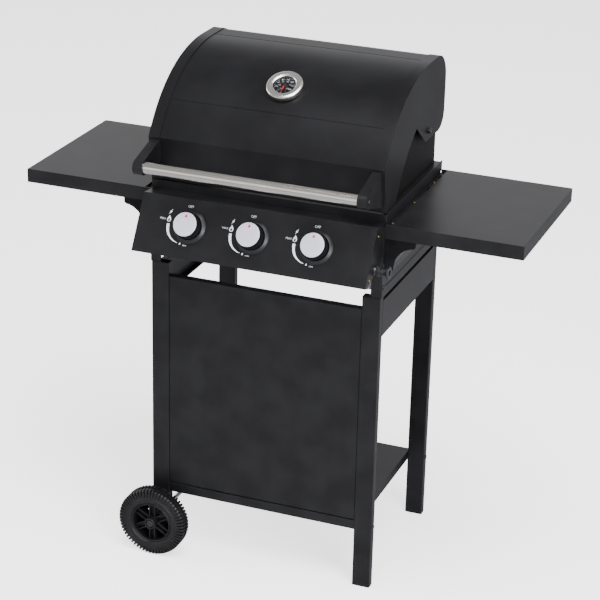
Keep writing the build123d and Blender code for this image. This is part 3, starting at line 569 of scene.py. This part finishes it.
def printShape():
    shape, low, height = bmesh.new(), prints["low"], prints["height"]
    rim = scaled(flame, prints["flameSize"], prints["flameAt"])
    core = scaled(flame, prints["coreSize"], prints["coreAt"])
    walls = [
        [shape.verts.new(Vector((x, y, h)) * mm) for x, y in line]
        for line in (rim, core) for h in (low, height)
    ]
    for a, b in ((0, 1), (1, 3), (3, 2), (2, 0)):
        for i in range(len(flame)):
            j = (i + 1) % len(flame)
            shape.faces.new((walls[a][i], walls[a][j], walls[b][j], walls[b][i]))
    prism(scaled(flame, prints["smallFlameSize"], prints["smallFlameAt"]), low, height, shape)
    prism(scaled(prints["spark"], 1.0, prints["sparkAt"]), low, height, shape)
    outer, inner = [], []
    for clock, radius, width in prints["arc"]:
        across = Vector((sin(radians(clock)), cos(radians(clock))))
        outer.append(tuple(across * (radius + width / 2)))
        inner.append(tuple(across * (radius - width / 2)))
    for i in range(len(outer) - 1):
        prism([outer[i], outer[i + 1], inner[i + 1], inner[i]], low, height, shape)
    bmesh.ops.remove_doubles(shape, verts=shape.verts, dist=0.001 * mm)
    for word, at, size in prints["words"]:
        addWord(shape, word, at, size, low, height - low)
    shift = Matrix.Translation(Vector((*prints["shift"], 0)) * mm)
    bmesh.ops.transform(shape, matrix=shift, verts=shape.verts)
    # the arc's pieces share their end faces, which would be left inside it
    inside = [f for f in shape.faces if all(len(e.link_faces) > 2 for e in f.edges)]
    bmesh.ops.delete(shape, geom=inside, context="FACES_ONLY")
    bmesh.ops.recalc_face_normals(shape, faces=shape.faces)
    return shape


for station in stations:
    turn = joints[f"knob_turn_{station}"]
    place = frameAt(turn["pos_m"], turn["axis"])
    body = f"knob_{station}"
    addPiece(f"knob_grip_{station}", turned(knob["grip"], 0.5), "abs", body,
             place, (f"knob_{station}",))
    addPiece(f"knob_disc_{station}", turned(knob["face"], 0.4), "silverLacquer", body,
             place, (f"knob_face_{station}",))
    wide, tall = knob["markSize"]
    mark = prism([(x * wide, y * tall + knob["markAt"]) for x, y in flame], *knob["markHeight"])
    addPiece(f"knob_mark_{station}", mark, "redEnamel", body, place)
    addPiece(f"knob_ring_{station}", turned(knob["bezel"], 0.4), "glossAbs", "cart",
             place, ("knob_bezels",) if station == "left" else ())
    addPiece(f"panel_print_{station}", printShape(), "whiteInk", "cart", place)
print("knobs and prints made")

# Thermometer; heights are from the lid's skin.
gauge = {
    "case": [(0, -45), (3, -45), (3, 0), (38, 0), (39, 1), (39, 9.4), (37.9, 11.3), (34.5, 12.4),
             (30, 12.3), (26.8, 11.7), (24.4, 10.6), (24.2, 7), (0, 7)],
    "dial": [(0, 6.8), (24.1, 6.8), (24.1, 7.3), (0, 7.32)],
    "hub": [(0, 8.9), (3.2, 8.9), (3.2, 9.2), (2.4, 9.6), (0, 9.7)],
    "printLow": 7.3, "printThick": 0.12,
    "sweep": (214, 484), "ticks": 28, "tickEnd": 22.8, "tickHalf": 0.22, "tickLong": (2.4, 1.3),
    # each scale: its numbers, its radius and the height of its digits
    "scales": [(["50", "100", "150", "200", "250", "300", "350", "400"], 17.2, 3.4),
               (["100", "200", "300", "400", "500", "600"], 11.2, 2.5)],
}


def dialPrint():
    shape = bmesh.new()
    low, thick = gauge["printLow"], gauge["printThick"]
    start, end = gauge["sweep"]
    half, tip = gauge["tickHalf"], gauge["tickEnd"]
    for i in range(gauge["ticks"] + 1):
        clock = radians(start + (end - start) * i / gauge["ticks"])
        long = gauge["tickLong"][0 if i % 4 == 0 else 1]
        slab((-half, half), (tip - long, tip), (low, low + thick), shape, spin(-clock))
    for numbers, radius, size in gauge["scales"]:
        for i, number in enumerate(numbers):
            clock = radians(start + (end - start) * i / (len(numbers) - 1))
            at = (radius * sin(clock), radius * cos(clock))
            addWord(shape, number, at, size, low, thick)
    return shape


needleTurn = joints["needle_turn"]
place = frameAt(needleTurn["pos_m"], -Vector(needleTurn["axis"]))
addPiece("gauge_case", turned(gauge["case"], 0.5, 96), "spunSteel", "lid", place,
         ("thermometer_case",))
addPiece("gauge_dial", turned(gauge["dial"], 0.1, 96), "dialBlack", "lid", place)
addPiece("gauge_print", dialPrint(), "whiteInk", "lid", place)
addPiece("gauge_hub", turned(gauge["hub"], 0.2, 32), "blackOxide", "needle", place)
print("thermometer made")

# Screws and bolts; the cross recess is a share of the head's radius and height.
screw = {
    "recess": 0.52, "arm": 0.2, "deep": 0.62,
    # each kind of head: radius and height in mm
    "yellow": (3.1, 2.0), "bolt": (5.0, 3.0), "handle": (4.2, 2.0),
}


def crossHead(radius, height, finish, name):  # domed head with a cross recess, cut once and copied
    dome = [
        (0, -0.6), (radius, -0.6), (radius, height * 0.34), (radius * 0.86, height * 0.78),
        (radius * 0.5, height), (0, height),
    ]
    head = bpy.data.objects.new(name, meshFrom(turned(dome, radius * 0.06, 40), name, finish))
    cut, reach, arm = bmesh.new(), radius * screw["recess"], radius * screw["arm"] / 2
    floor = height * (1 - screw["deep"])
    slab((-reach, reach), (-arm, arm), (floor, height + 1), cut)
    # the second arm differs a little, so that no two faces of the cutter lie in one plane
    slab((-arm * 1.04, arm * 1.04), (-reach * 0.98, reach * 0.98),
         (floor * 0.97, height + 1.1), cut)
    cutter = bpy.data.objects.new(name + "Cut", meshFrom(cut, name + "Cut", finish))
    for each in (head, cutter):
        bpy.context.scene.collection.objects.link(each)
    carve = head.modifiers.new("Recess", "BOOLEAN")
    carve.operation, carve.object, carve.use_self = "DIFFERENCE", cutter, True
    bpy.context.view_layer.update()
    solved = head.evaluated_get(bpy.context.evaluated_depsgraph_get())
    carved = bpy.data.meshes.new_from_object(solved)
    for each in (head, cutter):
        bpy.data.objects.remove(each)
    return carved


def addHeads(name, template, places, body, stands=()):
    shape = bmesh.new()
    for place in places:
        start = len(shape.verts)
        shape.from_mesh(template)
        shape.verts.ensure_lookup_table()
        bmesh.ops.transform(shape, matrix=place, verts=shape.verts[start:])
    mesh = template.copy()
    shape.to_mesh(mesh)
    shape.free()
    mesh.name = name
    return addPiece(name, mesh, None, body, None, stands)


brassPlaces, boltPlaces = [], []
for low, high in islandsOf("brass_screws"):
    middle = (low + high) / 2
    if abs(middle.z - high.z) < 2 * mm:  # upright ones, in the tables' sunk strips
        brassPlaces.append(frameAt((middle.x, middle.y, low.z), (0, 0, 1)))
    else:
        outward = 1 if middle.x > 0 else -1
        seat = outward * 260 * mm  # the panel's end plate
        brassPlaces.append(frameAt((seat, middle.y, middle.z), (outward, 0, 0), (0, 1, 0.4)))
for low, high in islandsOf("cart_bolts"):
    middle = (low + high) / 2
    outward = 1 if middle.x > 0 else -1
    seat = (high.x if outward > 0 else low.x) - outward * screw["bolt"][1] * mm
    boltPlaces.append(frameAt((seat, middle.y, middle.z), (outward, 0, 0), (0, 1, 0.6)))
yellowHead = crossHead(*screw["yellow"], "yellowZinc", "yellowHead")
addHeads("yellow_screws", yellowHead, brassPlaces, "cart", ("brass_screws",))
blackHead = crossHead(*screw["bolt"], "blackOxide", "blackHead")
addHeads("black_bolts", blackHead, boltPlaces, "cart", ("cart_bolts",))

bracketLow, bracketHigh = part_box("handle_bracket_right")
barLow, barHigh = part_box("handle_bar")
barMiddle = (barLow + barHigh) / 2
handlePlaces = [
    frameAt((side * bracketHigh.x, barMiddle.y, barMiddle.z), (side, 0, 0), (0, 1, 0.3))
    for side in (-1, 1)
]
handleHead = crossHead(*screw["handle"], "blackOxide", "handleHead")
addHeads("handle_screws", handleHead, handlePlaces, "lid")

# Rolled ends of the hinge pins, outside the lid: a raised ring round a hollow.
hingeCap = [(0, -0.4), (6.2, -0.4), (6.2, 2.0), (5.6, 2.6), (4.0, 2.6), (3.4, 0.8), (0, 0.8)]
pinLow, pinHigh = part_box("hinge_pins")
for side, sideName in ((-1, "left"), (1, "right")):
    hingeAt = joints["lid_hinge"]["pos_m"]
    place = frameAt((side * pinHigh.x, hingeAt[1], hingeAt[2]), (side, 0, 0), (0, 1, 0))
    addPiece(f"hinge_cap_{sideName}", turned(hingeCap, 0.3, 40), "blackOxide", "cart",
             place)

# Gas inlet; heights are from its open end, where a hose would be screwed on.
inlet = {
    "flats": 21.0, "nut": (-28, -22), "bore": 6.6,
    "shoulder": [(3, -22.4), (10.6, -22.4), (10.6, -20.4), (9.4, -19.6), (3, -19.6)],
    "thread": (-20.0, -6), "threadHigh": 9.0, "threadLow": 8.1, "pitch": 1.9,
    "flange": [(6.6, -4.2), (13, -4.2), (13, 0), (6.6, 0)],
    "plug": [(0, -15), (6.8, -15), (6.8, -14), (0, -14)],
    "pinRadius": 1.5, "pinReach": (7, 17), "pinHeight": -14,
}


def inletShape():
    shape = prism(hexagon(inlet["flats"]), *inlet["nut"])
    turned(inlet["shoulder"], 0.3, 48, shape)
    height, end = inlet["thread"]
    neck = [(inlet["bore"], height)]
    while height < end:
        neck += [(inlet["threadLow"], height), (inlet["threadHigh"], height + inlet["pitch"] / 2)]
        height += inlet["pitch"]
    turned(neck + [(inlet["threadLow"], -4), (inlet["bore"], -4)], 0, 48, shape)
    turned(inlet["flange"], 0.5, 48, shape)
    turned(inlet["plug"], 0, 48, shape)
    lift = Matrix.Translation(Vector((0, 0, inlet["pinHeight"])) * mm)
    pin = lift @ Matrix.Rotation(pi / 2, 4, "Y")
    reach = inlet["pinRadius"]
    section = [(reach * cos(pi * i / 8), reach * sin(pi * i / 8)) for i in range(16)]
    prism(section, *inlet["pinReach"], shape, pin)
    return shape


addPiece("inlet_fitting", inletShape(), "blackOxide", "cart",
         frameAt(mounts["gas_inlet"]["pos_m"], (1, 0, 0), (0, 0, 1)), ("gas_inlet",), 0.3)
print("screws and inlet made")

# Studio: floor, sky, lights and camera, in metres.
studio = {
    # the floor's tone in the grill's reflections is painted darker than the floor itself: painted shade in the
    # reflections
    "floor": ("#f9f9fa", "#fdfdfd"), "floorSize": 14, "floorPaintedDimInReflections": "#9c9c9f", "floorGlow": 1.7,
    # pale walls under a darker ceiling: (height of the view's direction, colour)
    "sky": ((0.42, "#f6f6f8"), (0.6, "#8c8c8f")), "skyPower": 1.5,
    # the camera, as angles in degrees and lengths in metres
    "azimuth": 20.88, "elevation": 22.80, "roll": 1.37, "lens": 123.76,
    "aim": (0, 0.04579, 0.5562), "distance": 4.575,
}
# Each light: name, place, aim, size, power, colour.
lights = [
    ("KeySoftbox", (3.4, -3.0, 2.2), (0, 0, 0.7), 2.2, 230, "#fafaff"),
    ("TopSoftbox", (1.0, -1.4, 4.4), (0, -0.2, 0.2), 2.6, 280, "#ffffff"),
    ("LeftSoftbox", (-4.2, -0.6, 2.6), (0, 0, 0.4), 2.2, 110, "#ffffff"),
]


def linkObject(name, data):
    made = bpy.data.objects.new(name, data)
    bpy.context.scene.collection.objects.link(made)
    return made


world = bpy.data.worlds.new("Studio")
bpy.context.scene.world = world
world.use_nodes = True
background = world.node_tree.nodes["Background"]
around = addNode(world.node_tree, "TexCoord").outputs["Generated"]
height = addNode(world.node_tree, "SeparateXYZ", links={"Vector": around}).outputs["Z"]
sky = addNode(world.node_tree, "ValToRGB", links={"Fac": height})
for stop, (position, tone) in zip(sky.color_ramp.elements, studio["sky"]):
    stop.position, stop.color = position, linearColour(tone)
world.node_tree.links.new(sky.outputs["Color"], background.inputs["Color"])
background.inputs["Strength"].default_value = studio["skyPower"]

for name, place, aim, size, power, colour in lights:
    data = bpy.data.lights.new(name, "AREA")
    data.energy, data.size, data.color = power, size, linearColour(colour)[:3]
    lamp = linkObject(name, data)
    lamp.location = place
    lamp.rotation_euler = (Vector(aim) - Vector(place)).to_track_quat("-Z", "Y").to_euler()

ground = bmesh.new()
bmesh.ops.create_grid(ground, x_segments=8, y_segments=8, size=studio["floorSize"])
finishes["floor"] = evenFinish("PaintedStudioFloor", {
    "deep": studio["floor"][0], "light": studio["floor"][1], "patchMm": 900, "grainMm": 30,
    "reliefMm": 0.05, "rough": (0.6, 0.7), "surface": {"IOR": 1.45}})
# The floor glows a little, as a lit sweep does. In the grill's own reflections it is painted dimmer and shown
# without its glow: painted shade in the reflected floor, which darkens what the grill's surfaces mirror.
floorTree = finishes["floor"].node_tree
floorShader = floorTree.nodes["Principled BSDF"]
seen = floorShader.inputs["Base Color"].links[0].from_socket
mirrored = addNode(floorTree, "LightPath").outputs["Is Glossy Ray"]
floorTone = addNode(
    floorTree, "MixRGB", {"Color2": linearColour(studio["floorPaintedDimInReflections"])},
    {"Fac": mirrored, "Color1": seen},
)
floorTree.links.new(floorTone.outputs["Color"], floorShader.inputs["Base Color"])
glow = addNode(
    floorTree, "Math",
    {"operation": "MULTIPLY_ADD", 1: -studio["floorGlow"], 2: studio["floorGlow"]}, {0: mirrored},
)
floorShader.inputs["Emission Color"].default_value = (1, 1, 1, 1)
floorTree.links.new(glow.outputs["Value"], floorShader.inputs["Emission Strength"])
floorMesh = meshFrom(ground, "studio_floor", "floor")
floorPiece = linkObject("studio_floor", floorMesh)
floorPiece.location.z = -0.5 * mm

turnZ, tilt, roll = (radians(studio[key]) for key in ("azimuth", "elevation", "roll"))
back = Vector((sin(turnZ) * cos(tilt), -cos(turnZ) * cos(tilt), sin(tilt)))
level = Vector((cos(turnZ), sin(turnZ), 0))
upright = back.cross(level)
right = cos(roll) * level + sin(roll) * upright
up = cos(roll) * upright - sin(roll) * level
lens = bpy.data.cameras.new("Camera")
lens.lens, lens.sensor_width = studio["lens"], 36
camera = linkObject("Camera", lens)
camera.matrix_world = (
    Matrix.Translation(Vector(studio["aim"]) + back * studio["distance"])
    @ Matrix((right, up, back)).transposed().to_4x4()
)
lens.clip_start, lens.clip_end = 0.05, 60
bpy.context.scene.camera = camera
print("studio made")
